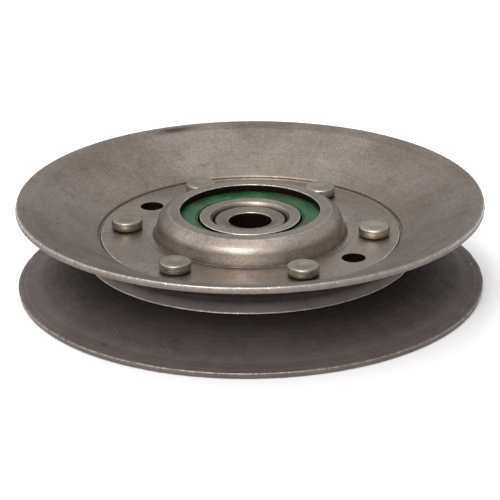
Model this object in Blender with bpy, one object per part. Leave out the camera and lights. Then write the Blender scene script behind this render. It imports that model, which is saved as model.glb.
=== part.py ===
"""Pressed-steel V-belt idler pulley on a sealed deep-groove ball bearing.

Two dished sheaves and two bearing housings are riveted into one wheel. The
wheel turns on the bearing, whose inner race and sleeve stay still on the bolt.

Frame: metres, +Z along the pulley's axis, origin on that axis halfway between
the two rims. Every turned piece is a (radius, height) outline spun about Z.
"""
import math

import bmesh
import bpy

MM = 0.001

# ---- Driving dimensions ------------------------------------------------------
SHEET = 1.45 * MM              # thickness of every pressed sheet
STACK_GAP = 0.20 * MM          # gap between two sheets that are riveted together
SEAT_GAP = 0.20 * MM           # gap round a piece that is pressed or clamped in
HEAD_GAP = 0.15 * MM           # gap under a rivet head
RUN_GAP = 0.30 * MM            # gap between two pieces that turn past each other

RIM_RADIUS = 54.0 * MM         # outside of both sheaves
HALF_WIDTH = 10.65 * MM        # from the middle of the pulley to the edge of a rim
LIP_WIDTH = 3.4 * MM           # flatter band along each rim
LIP_SLOPE = math.radians(12.0)
CONE_SLOPE = math.radians(23.5)      # outer half of the cone
HUB_CONE_SLOPE = math.radians(27.3)  # inner half, steeper down to the collar
CONE_BREAK_RADIUS = 43.0 * MM  # where the two halves meet

FLOOR_RADIUS = 38.05 * MM      # groove floor, at its lower edge
FLOOR_TOP_RADIUS = 37.65 * MM  # the floor narrows a little towards the top
FLOOR_EDGE_Z = -2.15 * MM      # lower edge of the groove floor
COLLAR_RADIUS = 35.15 * MM     # inside of the collar, round the hub plate
COLLAR_BEND = 1.1 * MM         # bend from the dish down into the collar
FLOOR_FILLET = 1.0 * MM        # bend from the cone into the groove floor

PLATE_RADIUS = 34.6 * MM       # upper hub plate
LOWER_PLATE_RADIUS = 32.8 * MM  # lower hub plate, inside the bend of the lower web
PLATE_TOP_Z = 2.15 * MM        # top face of the upper hub plate
WEB_HOLE_RADIUS = 20.8 * MM    # hole in each sheave's web, round the bearing
WEB_CORNER_RADIUS = 34.3 * MM  # where the lower web turns down into its cone

SHOULDER_RADIUS = 18.9 * MM    # edge of the dome's flat top
DOME_BEND_RADIUS = 21.2 * MM   # where the dome's shoulder turns down into its wall
DOME_BEND_Z = 6.2 * MM
DOME_BEND = 1.3 * MM           # size of that bend
DOME_RADIUS = 22.1 * MM        # foot of the dome's wall
DOME_FILLET = 1.0 * MM         # bend from the plate up into the dome
LIP_RADIUS = 16.2 * MM         # opening in the top of the dome
COINED_RADIUS = 23.8 * MM      # shallow ring pressed into the plate round the dome
COINED_DEPTH = 0.15 * MM

BEARING_RADIUS = 20.0 * MM     # 6203 size: 17 x 40 x 12 mm
BEARING_BORE = 8.5 * MM
BEARING_HALF_WIDTH = 6.0 * MM
RACE_CORNER = 1.0 * MM
INNER_SHOULDER = 11.6 * MM
OUTER_SHOULDER = 16.6 * MM
INNER_BORE_CHAMFER = 0.7 * MM
PITCH_RADIUS = 14.25 * MM
BALL_RADIUS = 3.37 * MM
BALL_COUNT = 8

SEAL_SEAT_RADIUS = 17.5 * MM   # step in the outer race that holds the seal
SEAL_OUTER_RADIUS = 17.3 * MM
SEAL_INNER_RADIUS = 12.1 * MM
SEAL_FACE_Z = 5.7 * MM
SEAL_THICKNESS = 0.8 * MM

CAGE_INNER_RADIUS = 12.6 * MM
CAGE_OUTER_RADIUS = 15.9 * MM
CAGE_SHEET = 0.5 * MM
CAGE_SPLIT = 0.15 * MM         # half the gap between the two cage halves

SLEEVE_BORE = 5.0 * MM         # takes a 10 mm bolt
SLEEVE_HALF_LENGTH = 5.4 * MM
SLEEVE_CHAMFER = 0.5 * MM

RIVET_COUNT = 6
RIVET_CIRCLE = 28.7 * MM
RIVET_HEAD_RADIUS = 3.65 * MM
RIVET_HEAD_HEIGHT = 2.25 * MM
RIVET_HEAD_CORNER = 0.7 * MM
RIVET_SHANK_RADIUS = 2.3 * MM
RIVET_HOLE_RADIUS = 2.5 * MM
TOOLING_HOLE_RADIUS = 2.7 * MM
TOOLING_HOLE_ANGLES = (150.0, -30.0)

WHEEL_STEPS = 48               # facets round the sheaves and hub plates
BEARING_STEPS = 40             # facets round the bearing and the sleeve
RIVET_STEPS = 12               # facets round a rivet head
HOLE_STEPS = 10                # facets round a hole
CAGE_STEPS = 64                # facets round a cage half

# ---- Sizes worked out from those ---------------------------------------------
PLATE_BOTTOM_Z = PLATE_TOP_Z - SHEET
UPPER_WEB_TOP_Z = PLATE_BOTTOM_Z - STACK_GAP
UPPER_WEB_BOTTOM_Z = UPPER_WEB_TOP_Z - SHEET
LOWER_WEB_TOP_Z = UPPER_WEB_BOTTOM_Z - STACK_GAP
LOWER_WEB_BOTTOM_Z = LOWER_WEB_TOP_Z - SHEET
LOWER_PLATE_TOP_Z = LOWER_WEB_BOTTOM_Z - STACK_GAP
LOWER_PLATE_BOTTOM_Z = LOWER_PLATE_TOP_Z - SHEET
DOME_INNER_RADIUS = BEARING_RADIUS + SEAT_GAP
DOME_INNER_TOP_Z = BEARING_HALF_WIDTH + SEAT_GAP
DOME_TOP_Z = DOME_INNER_TOP_Z + SHEET


# ---- Outlines ----------------------------------------------------------------
def arc(centre, radius, start, end, steps):
    """Points of an arc in the (radius, height) plane, angles in degrees."""
    points = []
    for i in range(steps + 1):
        angle = math.radians(start + (end - start) * i / steps)
        points.append((centre[0] + radius * math.cos(angle),
                       centre[1] + radius * math.sin(angle)))
    return points


def flip(outline):
    """The same outline turned over, top to bottom."""
    return [(r, -z) for r, z in outline]


def rim_lines():
    """Belt side and dish side of an upper rim, from the edge in to the cone."""
    edge_z = HALF_WIDTH - SHEET * math.cos(LIP_SLOPE)
    lip_r = RIM_RADIUS - LIP_WIDTH
    lip_z = edge_z - LIP_WIDTH * math.tan(LIP_SLOPE)
    belt_side = [(RIM_RADIUS, edge_z), (lip_r, lip_z)]
    lean = 0.5 * (LIP_SLOPE + CONE_SLOPE)
    dish_side = [(RIM_RADIUS - SHEET * math.sin(LIP_SLOPE), HALF_WIDTH),
                 (lip_r - SHEET * math.sin(lean), lip_z + SHEET * math.cos(lean))]
    return belt_side, dish_side


def cone_break(start):
    """Point where the cone that runs down and in from start turns steeper."""
    fall = (start[0] - CONE_BREAK_RADIUS) * math.tan(CONE_SLOPE)
    return (CONE_BREAK_RADIUS, start[1] - fall)


def on_cone(start, radius):
    """Point at a radius on the steeper half of the cone that starts at start."""
    fall = (CONE_BREAK_RADIUS - radius) * math.tan(HUB_CONE_SLOPE)
    return (radius, cone_break(start)[1] - fall)


def bend(corner, before, after, size, steps):
    """Rounds a corner between two neighbours, cutting size off each side."""
    points = []
    ends = []
    for other in (before, after):
        dr, dz = other[0] - corner[0], other[1] - corner[1]
        length = math.hypot(dr, dz)
        ends.append((corner[0] + dr * size / length, corner[1] + dz * size / length))
    for i in range(steps + 1):
        t = i / steps
        a, b, c = (1 - t) ** 2, 2 * t * (1 - t), t ** 2
        points.append((a * ends[0][0] + b * corner[0] + c * ends[1][0],
                       a * ends[0][1] + b * corner[1] + c * ends[1][1]))
    return points


def upper_sheave_outline():
    """Rim, cone and collar of the upper sheave, with the web clamped inside."""
    belt_side, dish_side = rim_lines()
    floor_edge = (FLOOR_RADIUS, FLOOR_EDGE_Z)
    floor_corner = on_cone(belt_side[1], FLOOR_TOP_RADIUS)
    foot = (WEB_CORNER_RADIUS, UPPER_WEB_BOTTOM_Z)
    collar_corner = on_cone(dish_side[1], COLLAR_RADIUS)
    collar_foot = (COLLAR_RADIUS, UPPER_WEB_TOP_Z)
    belt_break, dish_break = cone_break(belt_side[1]), cone_break(dish_side[1])
    points = belt_side + [belt_break]
    points += bend(floor_corner, belt_break, floor_edge, FLOOR_FILLET, 2)
    points += [floor_edge, foot, (WEB_HOLE_RADIUS, UPPER_WEB_BOTTOM_Z)]
    points += [(WEB_HOLE_RADIUS, UPPER_WEB_TOP_Z), collar_foot]
    points += bend(collar_corner, collar_foot, dish_break, COLLAR_BEND, 2)
    points += [dish_break, dish_side[1], dish_side[0]]
    return points


def lower_sheave_outline():
    """Rim and cone of the lower sheave; its web lies under the upper one."""
    belt_side, dish_side = rim_lines()
    belt_side, dish_side = flip(belt_side), flip(dish_side)
    top_corner = (WEB_CORNER_RADIUS, LOWER_WEB_TOP_Z)
    slope = (belt_side[1][1] - top_corner[1]) / (belt_side[1][0] - top_corner[0])
    lean = math.atan(-slope)
    under_corner_r = WEB_CORNER_RADIUS - SHEET * math.tan(0.5 * lean)
    under_corner = (under_corner_r, LOWER_WEB_BOTTOM_Z)
    top_hole, bottom_hole = ((WEB_HOLE_RADIUS, z) for z in (LOWER_WEB_TOP_Z, LOWER_WEB_BOTTOM_Z))
    points = [belt_side[0], dish_side[0], dish_side[1]]
    points += bend(under_corner, dish_side[1], bottom_hole, COLLAR_BEND, 2)
    points += [bottom_hole, top_hole]
    points += bend(top_corner, top_hole, belt_side[1], COLLAR_BEND, 2)
    points += [belt_side[1]]
    return points


def hub_plate_outline(plate_radius, plate_top_z):
    """Hub plate whose dome stands up; plate_top_z is the plate's upper face."""
    plate_bottom_z = plate_top_z - SHEET
    coined_z = plate_top_z - COINED_DEPTH
    shoulder = (SHOULDER_RADIUS, DOME_TOP_Z)
    dome_bend = (DOME_BEND_RADIUS, DOME_BEND_Z)
    dome_foot = (DOME_RADIUS, coined_z)
    coined_edge = (COINED_RADIUS, coined_z)
    inner_centre = (DOME_INNER_RADIUS - RACE_CORNER, DOME_INNER_TOP_Z - RACE_CORNER)
    root = DOME_INNER_RADIUS + SHEET
    points = [(plate_radius, plate_top_z), (plate_radius, plate_bottom_z)]
    points += [(root, plate_bottom_z), (DOME_INNER_RADIUS, plate_bottom_z + SHEET)]
    points += arc(inner_centre, RACE_CORNER, 0.0, 90.0, 2)
    points += [(LIP_RADIUS, DOME_INNER_TOP_Z), (LIP_RADIUS, DOME_TOP_Z)]
    points += [shoulder]
    points += bend(dome_bend, shoulder, dome_foot, DOME_BEND, 2)
    points += bend(dome_foot, dome_bend, coined_edge, DOME_FILLET, 2)
    points += [coined_edge, (COINED_RADIUS + 2 * COINED_DEPTH, plate_top_z)]
    return points


def raceway(sign, shoulder):
    """Ball groove in a race: sign +1 in the outer race, -1 in the inner one."""
    groove = BALL_RADIUS + RUN_GAP
    half_angle = math.degrees(math.acos(abs(shoulder - PITCH_RADIUS) / groove))
    middle = 0.0 if sign > 0 else 180.0
    return arc((PITCH_RADIUS, 0.0), groove, middle - half_angle, middle + half_angle, 4)


def outer_race_outline():
    seat_z = SEAL_FACE_Z - SEAL_THICKNESS - SEAT_GAP
    face, corner = BEARING_HALF_WIDTH, RACE_CORNER
    points = [(BEARING_RADIUS, -face + corner), (BEARING_RADIUS, face - corner)]
    points += [(BEARING_RADIUS - corner, face), (SEAL_SEAT_RADIUS, face)]
    points += [(SEAL_SEAT_RADIUS, seat_z), (OUTER_SHOULDER, seat_z)]
    points += reversed(raceway(+1, OUTER_SHOULDER))
    points += [(OUTER_SHOULDER, -seat_z), (SEAL_SEAT_RADIUS, -seat_z)]
    points += [(SEAL_SEAT_RADIUS, -face), (BEARING_RADIUS - corner, -face)]
    return points


def inner_race_outline():
    face, chamfer = BEARING_HALF_WIDTH, INNER_BORE_CHAMFER
    edge = 0.2 * MM
    points = [(INNER_SHOULDER, -face + edge)]
    points += reversed(raceway(-1, INNER_SHOULDER))
    points += [(INNER_SHOULDER, face - edge), (INNER_SHOULDER - edge, face)]
    points += [(BEARING_BORE + chamfer, face), (BEARING_BORE, face - chamfer)]
    points += [(BEARING_BORE, -face + chamfer), (BEARING_BORE + chamfer, -face)]
    points += [(INNER_SHOULDER - edge, -face)]
    return points


def seal_outline():
    """Upper seal: a flat ring, thinner at its inner lip."""
    bottom_z = SEAL_FACE_Z - SEAL_THICKNESS
    edge = 0.25 * MM
    return [(SEAL_OUTER_RADIUS, bottom_z), (SEAL_OUTER_RADIUS, SEAL_FACE_Z - edge),
            (SEAL_OUTER_RADIUS - edge, SEAL_FACE_Z), (SEAL_INNER_RADIUS + edge, SEAL_FACE_Z),
            (SEAL_INNER_RADIUS, SEAL_FACE_Z - edge), (SEAL_INNER_RADIUS, bottom_z)]


def sleeve_outline():
    outer, end, chamfer = BEARING_BORE - SEAT_GAP, SLEEVE_HALF_LENGTH, SLEEVE_CHAMFER
    half = [(outer, end - chamfer), (outer - chamfer, end),
            (SLEEVE_BORE + chamfer, end), (SLEEVE_BORE, end - chamfer)]
    return half + list(reversed(flip(half)))


def rivet_outline():
    """Rivet about its own axis: flat round head above, the same head set below."""
    under_z, over_z = PLATE_TOP_Z + HEAD_GAP, LOWER_PLATE_BOTTOM_Z - HEAD_GAP
    corner = RIVET_HEAD_CORNER
    top_z, bottom_z = under_z + RIVET_HEAD_HEIGHT, over_z - RIVET_HEAD_HEIGHT
    corner_r = RIVET_HEAD_RADIUS - corner
    points = [(0.0, top_z)]
    points += arc((corner_r, top_z - corner), corner, 90.0, 0.0, 2)
    points += [(RIVET_HEAD_RADIUS, under_z), (RIVET_SHANK_RADIUS, under_z)]
    points += [(RIVET_SHANK_RADIUS, over_z), (RIVET_HEAD_RADIUS, over_z)]
    points += arc((corner_r, bottom_z + corner), corner, 0.0, -90.0, 2)
    points += [(0.0, bottom_z)]
    return points


# ---- Making objects ----------------------------------------------------------
def make_material(name, colour, roughness, metallic):
    material = bpy.data.materials.new(name)
    material.use_nodes = True
    shader = material.node_tree.nodes["Principled BSDF"]
    shader.inputs["Base Color"].default_value = (*colour, 1.0)
    shader.inputs["Roughness"].default_value = roughness
    shader.inputs["Metallic"].default_value = metallic
    return material


def make_object(name, mesh, material, parent):
    mesh.materials.append(material)
    mesh.shade_smooth()
    mesh.set_sharp_from_angle(angle=math.radians(35.0))
    piece = bpy.data.objects.new(name, mesh)
    piece.parent = parent
    bpy.context.scene.collection.objects.link(piece)
    return piece


def turned_mesh(name, outline, steps, closed=True):
    """Spins an outline about Z into a closed mesh."""
    bm = bmesh.new()
    points = [bm.verts.new((r, 0.0, z)) for r, z in outline]
    edges = [bm.edges.new(pair) for pair in zip(points, points[1:])]
    if closed:
        edges.append(bm.edges.new((points[-1], points[0])))
    bmesh.ops.spin(bm, geom=points + edges, cent=(0, 0, 0), axis=(0, 0, 1),
                   angle=2 * math.pi, steps=steps, use_merge=True)
    bmesh.ops.remove_doubles(bm, verts=bm.verts, dist=1e-6)
    bmesh.ops.recalc_face_normals(bm, faces=bm.faces)
    mesh = bpy.data.meshes.new(name)
    bm.to_mesh(mesh)
    bm.free()
    return mesh


def turned_piece(name, outline, steps, material, parent, closed=True):
    return make_object(name, turned_mesh(name, outline, steps, closed), material, parent)


def make_hole_cutter(name, radius, circle, angle, parent):
    """Upright cylinder that drills one hole through a sheet."""
    bm = bmesh.new()
    bmesh.ops.create_cone(bm, cap_ends=True, segments=HOLE_STEPS, radius1=radius,
                          radius2=radius, depth=2 * HALF_WIDTH)
    mesh = bpy.data.meshes.new(name)
    bm.to_mesh(mesh)
    bm.free()
    cutter = bpy.data.objects.new(name, mesh)
    cutter.location = (circle * math.cos(angle), circle * math.sin(angle), 0.0)
    cutter.parent = parent
    cutter.hide_render = True
    cutter.display_type = "WIRE"
    bpy.context.scene.collection.objects.link(cutter)
    return cutter


def drill(piece, cutters):
    for cutter in cutters:
        cut = piece.modifiers.new(cutter.name, "BOOLEAN")
        cut.operation = "DIFFERENCE"
        cut.solver = "EXACT"
        cut.object = cutter


def rivet_angles():
    return [2 * math.pi * i / RIVET_COUNT for i in range(RIVET_COUNT)]


def make_cutters(parent):
    cutters = [make_hole_cutter(f"rivet_hole_{i + 1}", RIVET_HOLE_RADIUS, RIVET_CIRCLE, a, parent)
               for i, a in enumerate(rivet_angles())]
    for i, degrees in enumerate(TOOLING_HOLE_ANGLES):
        cutters.append(make_hole_cutter(f"tooling_hole_{i + 1}", TOOLING_HOLE_RADIUS,
                                        RIVET_CIRCLE, math.radians(degrees), parent))
    return cutters


def make_wheel(steel, rivet_steel, parent):
    """Both sheaves, both hub plates and the rivets: everything the belt turns."""
    outlines = {
        "upper_sheave": upper_sheave_outline(),
        "lower_sheave": lower_sheave_outline(),
        "upper_hub_plate": hub_plate_outline(PLATE_RADIUS, PLATE_TOP_Z),
        "lower_hub_plate": flip(hub_plate_outline(LOWER_PLATE_RADIUS, -LOWER_PLATE_BOTTOM_Z)),
    }
    cutters = make_cutters(parent)
    for name, outline in outlines.items():
        drill(turned_piece(name, outline, WHEEL_STEPS, steel, parent), cutters)
    mesh = turned_mesh("rivet", rivet_outline(), RIVET_STEPS, closed=False)
    for i, angle in enumerate(rivet_angles()):
        rivet = make_object(f"rivet_{i + 1}", mesh.copy(), rivet_steel, parent)
        rivet.location = (RIVET_CIRCLE * math.cos(angle), RIVET_CIRCLE * math.sin(angle), 0.0)


def cage_height(angle):
    """Height of a cage half's inner face: it arches over each ball."""
    pitch = 2 * math.pi / BALL_COUNT
    offset = (angle + 0.5 * pitch) % pitch - 0.5 * pitch
    across = PITCH_RADIUS * math.sin(offset)
    pocket = BALL_RADIUS + RUN_GAP
    if abs(across) >= pocket:
        return CAGE_SPLIT
    return max(CAGE_SPLIT, math.sqrt(pocket ** 2 - across ** 2))


def cage_mesh(name, side):
    """One half of the pressed cage; side is +1 above the balls and -1 below."""
    bm = bmesh.new()
    rings = []
    for i in range(CAGE_STEPS):
        angle = 2 * math.pi * i / CAGE_STEPS
        inner_z = cage_height(angle)
        ring = []
        for r, z in ((CAGE_INNER_RADIUS, inner_z), (CAGE_OUTER_RADIUS, inner_z),
                     (CAGE_OUTER_RADIUS, inner_z + CAGE_SHEET),
                     (CAGE_INNER_RADIUS, inner_z + CAGE_SHEET)):
            ring.append(bm.verts.new((r * math.cos(angle), r * math.sin(angle), side * z)))
        rings.append(ring)
    for ring, following in zip(rings, rings[1:] + rings[:1]):
        for j in range(4):
            k = (j + 1) % 4
            bm.faces.new((ring[j], ring[k], following[k], following[j]))
    bmesh.ops.recalc_face_normals(bm, faces=bm.faces)
    mesh = bpy.data.meshes.new(name)
    bm.to_mesh(mesh)
    bm.free()
    return mesh


def make_balls(material, parent):
    bm = bmesh.new()
    bmesh.ops.create_icosphere(bm, subdivisions=2, radius=BALL_RADIUS)
    mesh = bpy.data.meshes.new("ball")
    bm.to_mesh(mesh)
    bm.free()
    for i in range(BALL_COUNT):
        angle = 2 * math.pi * i / BALL_COUNT
        ball = make_object(f"ball_{i + 1}", mesh.copy(), material, parent)
        ball.location = (PITCH_RADIUS * math.cos(angle), PITCH_RADIUS * math.sin(angle), 0.0)


def make_bearing(race_steel, ball_steel, cage_steel, seal_rubber, wheel, cage, bolt):
    turned_piece("bearing_outer_race", outer_race_outline(), BEARING_STEPS, race_steel, wheel)
    turned_piece("upper_seal", seal_outline(), BEARING_STEPS, seal_rubber, wheel)
    turned_piece("lower_seal", flip(seal_outline()), BEARING_STEPS, seal_rubber, wheel)
    turned_piece("bearing_inner_race", inner_race_outline(), BEARING_STEPS, race_steel, bolt)
    for name, side in (("cage_upper", +1), ("cage_lower", -1)):
        make_object(name, cage_mesh(name, side), cage_steel, cage)
    make_balls(ball_steel, cage)


def make_axis_empty(name):
    empty = bpy.data.objects.new(name, None)
    bpy.context.scene.collection.objects.link(empty)
    return empty


def clear_scene():
    for item in list(bpy.data.objects):
        bpy.data.objects.remove(item, do_unlink=True)


def main():
    clear_scene()
    bolt, wheel, cage = (make_axis_empty(n) for n in ("bolt_side", "wheel_axis", "cage_axis"))
    steel = make_material("pressed_steel", (0.30, 0.27, 0.25), 0.45, 1.0)
    rivet_steel = make_material("rivet_steel", (0.40, 0.39, 0.36), 0.35, 1.0)
    race_steel = make_material("bearing_steel", (0.50, 0.47, 0.44), 0.30, 1.0)
    ball_steel = make_material("ball_steel", (0.60, 0.60, 0.60), 0.10, 1.0)
    cage_steel = make_material("cage_steel", (0.45, 0.42, 0.38), 0.40, 1.0)
    sleeve_steel = make_material("sleeve_steel", (0.45, 0.42, 0.40), 0.35, 1.0)
    seal_rubber = make_material("seal_rubber", (0.05, 0.16, 0.07), 0.55, 0.0)
    make_wheel(steel, rivet_steel, wheel)
    make_bearing(race_steel, ball_steel, cage_steel, seal_rubber, wheel, cage, bolt)
    turned_piece("spacer_sleeve", sleeve_outline(), BEARING_STEPS, sleeve_steel, bolt)


main()
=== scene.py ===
"""Looks for the V-belt idler pulley: fine turned meshes and worn-steel materials.

Every CAD node is replaced by a finer piece in the same place. Outlines are given
in millimetres as (radius, height) corners with a bend radius, and are spun about Z.
"""

import math
import random

import bmesh
import bpy
import numpy as np
from mathutils import Matrix, Vector


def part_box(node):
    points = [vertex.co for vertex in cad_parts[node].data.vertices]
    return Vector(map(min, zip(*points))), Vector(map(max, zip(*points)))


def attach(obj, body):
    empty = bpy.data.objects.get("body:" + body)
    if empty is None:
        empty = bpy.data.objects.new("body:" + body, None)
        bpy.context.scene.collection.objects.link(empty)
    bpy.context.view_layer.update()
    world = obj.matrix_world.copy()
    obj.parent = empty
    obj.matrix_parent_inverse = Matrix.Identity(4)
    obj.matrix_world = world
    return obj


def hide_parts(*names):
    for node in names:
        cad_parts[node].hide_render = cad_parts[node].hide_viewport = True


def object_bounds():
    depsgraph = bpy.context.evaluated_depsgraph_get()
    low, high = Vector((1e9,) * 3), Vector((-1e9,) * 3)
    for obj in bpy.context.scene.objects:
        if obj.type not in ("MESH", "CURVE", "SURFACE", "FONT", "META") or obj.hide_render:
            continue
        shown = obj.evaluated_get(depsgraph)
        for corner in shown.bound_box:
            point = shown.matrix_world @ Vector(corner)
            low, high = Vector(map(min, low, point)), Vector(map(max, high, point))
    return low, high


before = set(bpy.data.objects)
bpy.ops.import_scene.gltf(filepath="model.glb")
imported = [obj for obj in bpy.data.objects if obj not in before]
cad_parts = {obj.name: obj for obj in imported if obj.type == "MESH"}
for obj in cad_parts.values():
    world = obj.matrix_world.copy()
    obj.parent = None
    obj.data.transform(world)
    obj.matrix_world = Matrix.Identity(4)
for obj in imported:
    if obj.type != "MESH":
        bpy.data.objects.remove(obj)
cad_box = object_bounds()

MM = 0.001


def radius_of(node):
    """Outer radius of a turned CAD node, in millimetres."""
    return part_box(node)[1].x / MM


def top_of(node):
    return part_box(node)[1].z / MM


def bottom_of(node):
    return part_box(node)[0].z / MM


# ---- Sizes read from the frame (millimetres) ----------------------------------
RIM = radius_of("upper_sheave")
HALF_WIDTH = top_of("upper_sheave")
PLATE_RADIUS = radius_of("upper_hub_plate")
LOWER_PLATE_RADIUS = radius_of("lower_hub_plate")
DOME_TOP = top_of("upper_hub_plate")
PLATE_BOTTOM = bottom_of("upper_hub_plate")
LOWER_PLATE_TOP = top_of("lower_hub_plate")
FLOOR_EDGE_Z = bottom_of("upper_sheave")
LOWER_WEB_TOP = top_of("lower_sheave")
RACE_RADIUS = radius_of("bearing_outer_race")
RACE_FACE = top_of("bearing_outer_race")
SEAL_RADIUS = radius_of("upper_seal")
SEAL_FACE = top_of("upper_seal")
SEAL_BACK = bottom_of("upper_seal")
SLEEVE_RADIUS = radius_of("spacer_sleeve")
SLEEVE_END = top_of("spacer_sleeve")
RIVET_TOP = top_of("rivet_1")
RIVET_FOOT = bottom_of("rivet_1")
RIVET_CIRCLE = 0.5 * (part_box("rivet_1")[0].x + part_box("rivet_1")[1].x) / MM
RIVET_RADIUS = 0.5 * (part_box("rivet_1")[1].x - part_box("rivet_1")[0].x) / MM
BALL_RADIUS = 0.5 * (top_of("ball_1") - bottom_of("ball_1"))
BALL_CIRCLE = 0.5 * (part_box("ball_1")[0].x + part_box("ball_1")[1].x) / MM

# ---- Other sizes and counts, as in the CAD ------------------------------------
SHEET = 1.45
LIP_WIDTH = 3.4
LIP_SLOPE = math.radians(12.0)
CONE_SLOPE = math.radians(23.5)
HUB_CONE_SLOPE = math.radians(27.3)
CONE_BREAK = 43.0
FLOOR_EDGE = (38.05, FLOOR_EDGE_Z)
FLOOR_TOP_RADIUS = 37.65
COLLAR_RADIUS = 35.15
FLOOR_WAIST_Z = 0.6            # where the groove floor starts to flare to its edge
WEB_HOLE = 20.8
WEB_CORNER = 34.3
DOME_SHOULDER = 18.9
DOME_BEND = (21.2, 6.2)
DOME_RADIUS = 22.1
DOME_MOUTH = 16.2
COINED_DEPTH = 0.15            # shallow ring pressed into the plate round the dome
SEAT_GAP = 0.2                 # gap round a piece that is pressed or clamped in
HEAD_GAP = 0.15
RIVET_COUNT = 6
RIVET_SHANK_RADIUS = 2.3
RIVET_HOLE_RADIUS = 2.5
BALL_COUNT = 8
TOOLING_HOLE_RADIUS = 2.7
TOOLING_HOLE_ANGLES = (150.0, -30.0)
STACK_GAP = 0.2                # gap between two sheets of the stack
WEB_BOTTOM = LOWER_WEB_TOP + STACK_GAP
PLATE_TOP = PLATE_BOTTOM + SHEET
LOWER_PLATE_FACE = LOWER_PLATE_TOP - SHEET

# ---- How finely the pieces are turned -----------------------------------------
SHEAVE_SEGMENTS = 540
HUB_SEGMENTS = 360
BEARING_SEGMENTS = 256
RIVET_SEGMENTS = 72
RACEWAY_STEPS = 16
ARC_STEP = 15.0                # degrees of bend for each step of a rounded corner

# ---- Wear, dirt, painted shade and painted highlights -------------------------
EDGE_REACH = 0.16              # how far bright wear and painted highlights reach in from an edge
DIRT_AND_SHADE_REACH = 0.9               # how far dirt and painted shade reach out of a corner
WORN_BAND = 1.1                # width of the bright band round a sheave's rim
SPREAD = 0.5                   # share of two bright corners' wear and painted highlight left between them

# Stains: radius, direction (degrees), half size around and outward, strength.
DISH_STAINS = ((51.6, 117.0, 6.5, 1.4, 0.75), (38.6, 113.0, 0.7, 0.7, 0.9))
BELT_STAINS = ((39.3, -64.0, 3.2, 1.2, 0.75), (45.6, -105.0, 1.6, 0.9, 0.6),
               (51.0, -123.0, 1.8, 0.9, 0.6), (47.0, -60.0, 3.0, 1.2, 0.35))


# ---- Outlines -----------------------------------------------------------------
def corner(r, z, bend=0.1, wear_and_highlight=0.0, dirt_and_shade=0.0, film=0.0):
    """One corner of an outline: its wear and painted highlight, its dirt and painted shade, and how
    belt-blackened it is.
    """
    return (r, z, bend, wear_and_highlight, dirt_and_shade, film)


def flip(outline):
    return [(r, -z, *rest) for r, z, *rest in outline]


def spaced(length, first=0.12, growth=1.7, longest=1.2):
    """Distances along a straight run, close together near both its ends."""
    steps, at, step = [], 0.0, first
    while at + step < 0.5 * length:
        at += step
        steps.append(at)
        step = min(step * growth, longest)
    return steps + [length - s for s in reversed(steps)]


def rounded(outline):
    """Points (r, z, wear and painted highlight, dirt and painted shade, film) of a closed outline with its
    corners rounded.
    """
    count = len(outline)
    arcs = []
    for i in range(count):
        here = Vector(outline[i][:2])
        before = Vector(outline[i - 1][:2]) - here
        after = Vector(outline[(i + 1) % count][:2]) - here
        turn = math.pi - before.angle(after)
        bend = outline[i][2]
        cut = min(bend * math.tan(0.5 * turn), 0.45 * before.length, 0.45 * after.length)
        start, end = here + before.normalized() * cut, here + after.normalized() * cut
        steps = max(1, round(math.degrees(turn) / ARC_STEP))
        weight = math.cos(0.5 * turn)
        arc = []
        for k in range(steps + 1):
            t = k / steps
            a, b, c = (1 - t) ** 2, 2 * t * (1 - t) * weight, t ** 2
            arc.append((a * start + b * here + c * end) / (a + b + c))
        arcs.append(arc)
    points = []
    for i in range(count):
        wear_and_highlight, dirt_and_shade, film = outline[i][3:]
        points += [(p.x, p.y, wear_and_highlight, dirt_and_shade, film) for p in arcs[i]]
        start, end = arcs[i][-1], arcs[(i + 1) % count][0]
        next_wear_and_highlight, next_dirt_and_shade, next_film = outline[(i + 1) % count][3:]
        run = (end - start).length
        for s in spaced(run):
            p = start.lerp(end, s / run)
            near, far = math.exp(-s / EDGE_REACH), math.exp(-(run - s) / EDGE_REACH)
            soft_near, soft_far = math.exp(-s / DIRT_AND_SHADE_REACH), math.exp(-(run - s) / DIRT_AND_SHADE_REACH)
            points.append((p.x, p.y, max(wear_and_highlight * near, next_wear_and_highlight * far, SPREAD * min(wear_and_highlight, next_wear_and_highlight)),
                           max(dirt_and_shade * soft_near, next_dirt_and_shade * soft_far, min(dirt_and_shade, next_dirt_and_shade)),
                           film + (next_film - film) * s / run))
    return points


def rim_corners(belt_wear, dish_wear, edge_film):
    """Belt side and dish side of the upper sheave, from its edge in to the hub."""
    edge_z = HALF_WIDTH - SHEET * math.cos(LIP_SLOPE)
    lip_r = RIM - LIP_WIDTH
    lip_z = edge_z - LIP_WIDTH * math.tan(LIP_SLOPE)
    lean = 0.5 * (LIP_SLOPE + CONE_SLOPE)
    dish_r, dish_z = lip_r - SHEET * math.sin(lean), lip_z + SHEET * math.cos(lean)
    edge_r = RIM - SHEET * math.sin(LIP_SLOPE)
    worn_r = edge_r - WORN_BAND
    worn_z = HALF_WIDTH - WORN_BAND * math.tan(LIP_SLOPE)
    break_drop = (lip_r - CONE_BREAK) * math.tan(CONE_SLOPE)
    belt = [corner(RIM, edge_z, 0.2, belt_wear, 0.0, 0.7), corner(lip_r, lip_z, 1.5, 0.0, 0.1, 0.85),
            corner(CONE_BREAK, lip_z - break_drop, 60.0, 0.0, 0.15, 1.0)]
    dish = [corner(edge_r, HALF_WIDTH, 0.3, dish_wear, 0.0, edge_film),
            corner(worn_r, worn_z, 1.0, 0.45 * dish_wear),
            corner(dish_r, dish_z, 0.6, 0.1),
            corner(CONE_BREAK, dish_z - (dish_r - CONE_BREAK) * math.tan(CONE_SLOPE), 60.0)]
    return belt, dish


def on_cone(start, r):
    """Height of the hub half of the cone at a radius, from its corner at the break."""
    return start[1] - (start[0] - r) * math.tan(HUB_CONE_SLOPE)


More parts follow.
